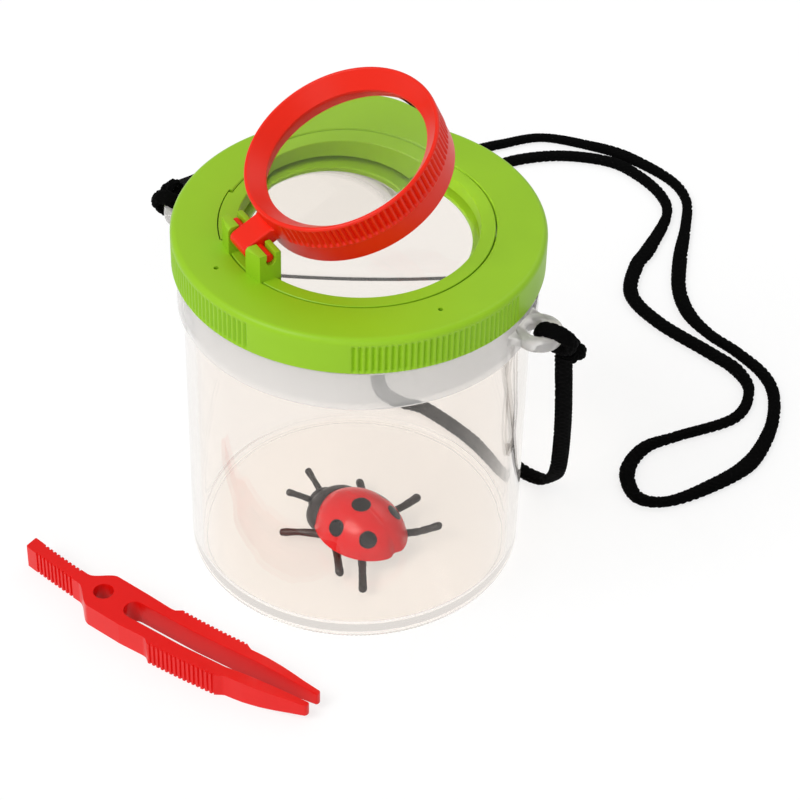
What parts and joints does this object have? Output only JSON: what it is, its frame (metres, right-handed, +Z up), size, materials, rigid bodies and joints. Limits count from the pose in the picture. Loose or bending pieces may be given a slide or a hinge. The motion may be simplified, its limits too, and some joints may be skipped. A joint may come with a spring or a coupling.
{
  "type": "bug catcher jar",
  "caption": "Clear screw-lid jar with a fixed lens in the lid and a hinged magnifier over it, ears with a neck cord, tweezers and a toy ladybird to look at.",
  "frame": {"origin": "centre of the cup's base, on the surface it stands on", "axes": "+Z up along the cup's axis, +X through the right-hand cord ear"},
  "size_m": [0.1893, 0.253, 0.1287],
  "materials": {
    "clear_cup": "clear, glossy",
    "green_plastic": "satin, moulded",
    "clear_lens": "clear, polished",
    "red_plastic": "satin, moulded",
    "tweezer_red": "satin, moulded",
    "red_shell": "glossy paint with black spots",
    "black_rubber": "soft satin",
    "black_braid": "matt braid"
  },
  "bodies": {
    "jar": {"jar_cup": "clear_cup", "neck_cord": "black_braid", "cord_loop_right": "black_braid", "cord_loop_left": "black_braid", "cord_knot_right": "black_braid", "cord_knot_left": "black_braid"},
    "lid_lens": {"fixed_lens": "clear_lens"},
    "lid": {"lid_cap": "green_plastic", "lens_retainer": "green_plastic"},
    "magnifier": {"magnifier_frame": "red_plastic", "magnifier_lens": "clear_lens"},
    "tweezers": {"tweezer_handle": "tweezer_red"},
    "tweezer_left": {"tweezer_arm_left": "tweezer_red"},
    "tweezer_right": {"tweezer_arm_right": "tweezer_red"},
    "bug": {"bug_shell": "red_shell", "bug_belly": "black_rubber", "bug_head": "black_rubber", "feeler_left": "black_rubber", "feeler_right": "black_rubber", "leg_front_left": "black_rubber", "leg_middle_left": "black_rubber", "leg_rear_left": "black_rubber", "leg_front_right": "black_rubber", "leg_middle_right": "black_rubber", "leg_rear_right": "black_rubber"}
  },
  "joints": [
    {"name": "lid_lift", "type": "slide", "parent": "jar", "child": "lid_lens", "axis": [0, 0, 1], "range_m": [0, 0.00905]},
    {"name": "lid_turn", "type": "hinge", "parent": "lid_lens", "child": "lid", "pos_m": [0, 0, 0.09], "axis": [0, 0, 1], "range_deg": [0, 360]},
    {"name": "magnifier_tilt", "type": "hinge", "parent": "lid", "child": "magnifier", "pos_m": [-0.01445, -0.02433, 0.101], "axis": [0.8599, -0.5105, 0], "range_deg": [-25, 85]},
    {"name": "tweezers_lift", "type": "slide", "parent": "jar", "child": "tweezers", "axis": [0, 0, 1], "range_m": [0, 0.06]},
    {"name": "tweezer_left_squeeze", "type": "hinge", "parent": "tweezers", "child": "tweezer_left", "pos_m": [-0.02777, -0.05554, 0.0034], "axis": [0, 0, -1], "range_deg": [0, 1.5], "stiffness_Nm_per_rad": 0.3},
    {"name": "tweezer_right_squeeze", "type": "hinge", "parent": "tweezers", "child": "tweezer_right", "pos_m": [-0.02882, -0.06423, 0.0034], "axis": [0, 0, 1], "range_deg": [0, 1.5], "stiffness_Nm_per_rad": 0.3},
    {"name": "bug_lift", "type": "slide", "parent": "jar", "child": "bug", "axis": [0, 0, 1], "range_m": [0, 0.06]}
  ],
  "couplings": [
    {"joint": "lid_lift", "follows": "lid_turn", "m_per_rad": 0.0014324},
    {"joint": "tweezer_right_squeeze", "follows": "tweezer_left_squeeze", "ratio": 1}
  ]
}
